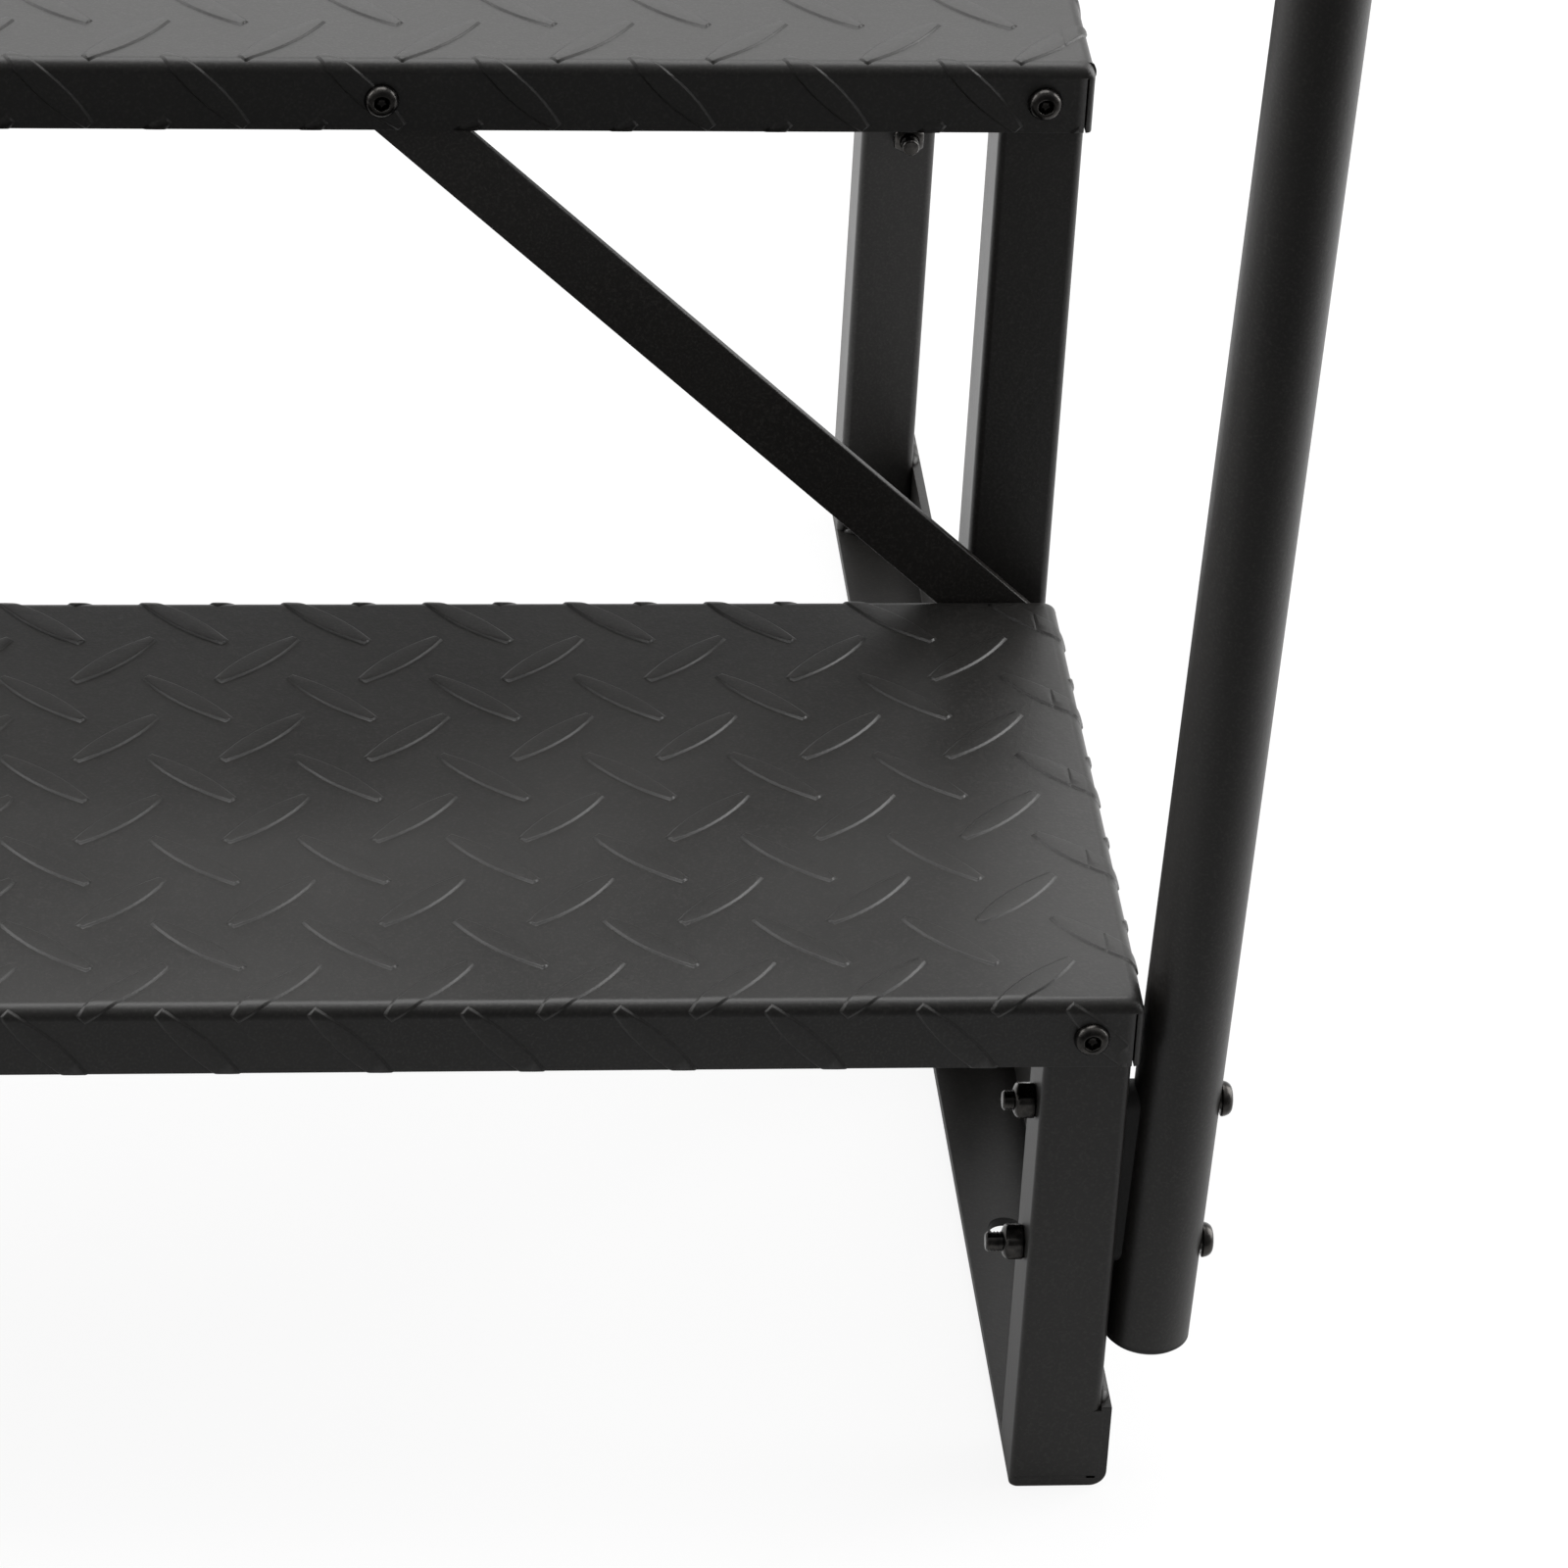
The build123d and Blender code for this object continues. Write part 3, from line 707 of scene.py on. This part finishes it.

# ---- Handrail
# One length of round steel tube, bent back at the top into a handle and bolted through the front leg.
# A steel saddle strip fills the wedge between the leaning tube and the leg. Its near-black, matt paint
# is painted shade, for the dark gap between the tube and the leg.


def finish_solid(node, material):
    """Give a CAD solid whose shape is right its material."""
    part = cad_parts[node]
    part.data.materials.clear()
    part.data.materials.append(material)


# Painted shade: the saddle's paint is darker and matter than the frame's, for the shade in the gap between
# leg and tube
saddle_painted_shade_coat = powder_coat("saddle_painted_shade_black", (0.0045, 0.0042, 0.0040), roughness=0.66, peel=0.10)
finish_solid("handrail_tube", frame_coat)
finish_solid("handrail_spacers", saddle_painted_shade_coat)

# ---- Grip
# Soft rubber, moulded in one piece and pushed over the handle's end, closed at its rear, with rounded
# finger ribs between shallow grooves.
grip_wall = 0.0038
grip_mouth = ((0.0028, 0), (0.0012, 0.0004), (0.0001, 0.0022), (0, 0.0075))  # inset, from the open end
grip_nose = ((0, 0.0055), (0.0010, 0.0026), (0.0032, 0.0008), (0.0065, 0))  # inset, from the closed end
rib_count = 9
rib_start = 0.012
plain_ends = 0.020
finger_groove = ((0, 0), (0.05, 0.0011), (0.14, 0.0014), (0.23, 0.0011), (0.30, 0.0002), (0.62, 0))


def moulded(name, shade, roughness, pebbles, depth):
    """Moulded rubber or plastic: a fine matt grain with slow changes of shade."""
    skin = bpy.data.materials.new(name)
    skin.use_nodes = True
    tree = skin.node_tree
    surface = tree.nodes["Principled BSDF"]
    surface.inputs["Specular IOR Level"].default_value = 0.35
    place = tree.nodes.new("ShaderNodeTexCoord")
    slow = noise_layer(tree, place, scale=35, detail=2)
    fine = tree.nodes.new("ShaderNodeTexVoronoi")
    fine.inputs["Scale"].default_value = pebbles
    tree.links.new(place.outputs["Object"], fine.inputs["Vector"])
    tone = shade_ramp(tree, slow, (0, [0.75 * c for c in shade]), (1, [1.35 * c for c in shade]))
    matt = scaled_range(tree, slow, roughness - 0.06, roughness + 0.06)
    grain = relief(tree, fine.outputs["Distance"], strength=0.4, distance=depth)
    tree.links.new(tone, surface.inputs["Base Color"])
    tree.links.new(matt, surface.inputs["Roughness"])
    tree.links.new(grain.outputs["Normal"], surface.inputs["Normal"])
    return skin


low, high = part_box("handrail_grip")
middle = (low + high) / 2
grip_radius = (high.z - low.z) / 2
grip_length = high.y - low.y
bore = grip_radius - grip_wall
rings = [(bore - 0.0001, 0.004, 0), (bore, 0, 0)]
rings += [(grip_radius - inset, along, 0) for inset, along in grip_mouth]
rib_pitch = (grip_length - plain_ends) / rib_count
for rib in range(rib_count):
    start = rib_start + rib * rib_pitch
    rings += [(grip_radius - dip, start + share * rib_pitch, 0) for share, dip in finger_groove]
rings += [(grip_radius - inset, grip_length - along, 0) for inset, along in grip_nose]
rings.append((0.002, grip_length, 0))
bm = bmesh.new()
to_back = Matrix.Translation((middle.x, low.y, middle.z)) @ Matrix.Rotation(-pi / 2, 4, "X")
draw_rings(bm, rings, steps=40, place=to_back)
grip_rubber = moulded("grip_rubber", (0.014, 0.014, 0.0145), roughness=0.62, pebbles=900, depth=0.00012)
add_piece("handrail_rubber_grip", bm, grip_rubber, "handrail_grip")

# ---- Plug
# A polyethylene glide plug, pressed into the handrail's lower end so that its cut edge is covered.
plug_plastic = moulded("plug_plastic", (0.012, 0.012, 0.012), roughness=0.5, pebbles=1400, depth=0.00005)
finish_solid("handrail_plug", plug_plastic)

# ---- Floor and light
# A white floor that keeps the soft shadow, in a bright, even studio. The floor and the room are darker
# in front, and no lamp stands there, so that the front faces stay dark. Not part of the object.
floor_radius = 30
floor_drop = 0.0003
camera_glow = 0.9  # how much of the floor that the camera sees is even white, and not lit paint
mirror_glow = 0.4  # the same for what the object's gloss reflects


def calculate(tree, operation, *values):
    """A Math node whose inputs are links or plain numbers."""
    node = tree.nodes.new("ShaderNodeMath")
    node.operation = operation
    for socket_in, value in zip(node.inputs, values):
        if isinstance(value, float):
            socket_in.default_value = value
        else:
            tree.links.new(value, socket_in)
    return node.outputs["Value"]


def depth_sweep(tree, output, span, low, high):
    """A smooth change from front to back along Y."""
    spot = tree.nodes.new("ShaderNodeTexCoord")
    split = tree.nodes.new("ShaderNodeSeparateXYZ")
    tree.links.new(spot.outputs[output], split.inputs["Vector"])
    return scaled_range(tree, split.outputs["Y"], low, high, span=span, interpolation="SMOOTHSTEP")


def studio_white(name):
    """Matt floor paint, darker towards the front, that the camera sees as even white with a shadow."""
    white = bpy.data.materials.new(name)
    white.use_nodes = True
    tree = white.node_tree
    paint = tree.nodes["Principled BSDF"]
    paint.inputs["Roughness"].default_value = 0.9
    paint.inputs["Specular IOR Level"].default_value = 0
    ray = tree.nodes.new("ShaderNodeLightPath")
    sweep = depth_sweep(tree, "Object", span=(-0.9, 0.1), low=0.13, high=0.88)
    seen = calculate(tree, "MAXIMUM", sweep, ray.outputs["Is Camera Ray"])
    mirrored = calculate(tree, "MULTIPLY", ray.outputs["Is Glossy Ray"], mirror_glow)
    share = calculate(tree, "MULTIPLY_ADD", ray.outputs["Is Camera Ray"], camera_glow, mirrored)
    glow = tree.nodes.new("ShaderNodeEmission")
    blend = tree.nodes.new("ShaderNodeMixShader")
    tree.links.new(seen, paint.inputs["Base Color"])
    tree.links.new(seen, glow.inputs["Color"])
    tree.links.new(share, blend.inputs["Fac"])
    tree.links.new(paint.outputs["BSDF"], blend.inputs[1])
    tree.links.new(glow.outputs["Emission"], blend.inputs[2])
    tree.links.new(blend.outputs["Shader"], tree.nodes["Material Output"].inputs["Surface"])
    return white


def softbox(name, place, target, width, height, power):
    """A soft rectangular lamp that the camera doesn't see, aimed at a point."""
    lamp = bpy.data.lights.new(name, "AREA")
    lamp.shape = "RECTANGLE"
    lamp.size = width
    lamp.size_y = height
    lamp.energy = power
    stand = bpy.data.objects.new(name, lamp)
    bpy.context.scene.collection.objects.link(stand)
    line = Vector(target) - Vector(place)
    stand.matrix_world = Matrix.Translation(place) @ line.to_track_quat("-Z", "Y").to_matrix().to_4x4()
    stand.visible_camera = False


floor_mesh = bpy.data.meshes.new("studio_floor")
bm = bmesh.new()
bmesh.ops.create_circle(bm, cap_ends=True, segments=64, radius=floor_radius)
bmesh.ops.translate(bm, vec=(0, 0, -floor_drop), verts=bm.verts)
bm.to_mesh(floor_mesh)
bm.free()
floor_mesh.materials.append(studio_white("studio_white"))
floor = bpy.data.objects.new("studio_floor", floor_mesh)
bpy.context.scene.collection.objects.link(floor)

studio = bpy.data.worlds.new("studio")
bpy.context.scene.world = studio
studio.use_nodes = True
tree = studio.node_tree
ray = tree.nodes.new("ShaderNodeLightPath")
sweep = depth_sweep(tree, "Generated", span=(-0.85, 0.15), low=0.12, high=0.95)
strength = calculate(tree, "MAXIMUM", ray.outputs["Is Camera Ray"], sweep)
tree.links.new(strength, tree.nodes["Background"].inputs["Strength"])
tree.nodes["Background"].inputs["Color"].default_value = (1, 1, 1, 1)

softbox("left_softbox", (-2.6, 0.9, 1.5), (0, 0, 0.3), width=3.0, height=2.4, power=85)
softbox("right_softbox", (2.7, 0.55, 1.2), (0.3, 0, 0.4), width=2.0, height=2.2, power=75)
softbox("back_softbox", (0, 3.6, 2.1), (0, 0, 0.35), width=3.4, height=1.4, power=20)
softbox("top_softbox", (0, 0.8, 3.0), (0, 0, 0.3), width=2.4, height=2.0, power=60)

# ---- Camera
# At a standing person's eye in front of the steps, looking down at their right half and at the foot
# of the handrail. It is not part of the object.
eye = (-0.02367, -2.1275, 1.4185)
heading = radians(-6.87)
tilt = radians(32.30)
roll = radians(3.45)
camera_data = bpy.data.cameras.new("camera")
camera_data.lens = 181.4
camera_data.sensor_width = 36
camera_data.clip_start = 0.05
camera_data.clip_end = 60
camera = bpy.data.objects.new("camera", camera_data)
bpy.context.scene.collection.objects.link(camera)
aim = Matrix.Rotation(heading, 4, "Z") @ Matrix.Rotation(pi / 2 - tilt, 4, "X")
aim = aim @ Matrix.Rotation(roll, 4, "Z")
camera.matrix_world = Matrix.Translation(eye) @ aim
bpy.context.scene.camera = camera

bpy.context.scene.view_settings.view_transform = "Standard"
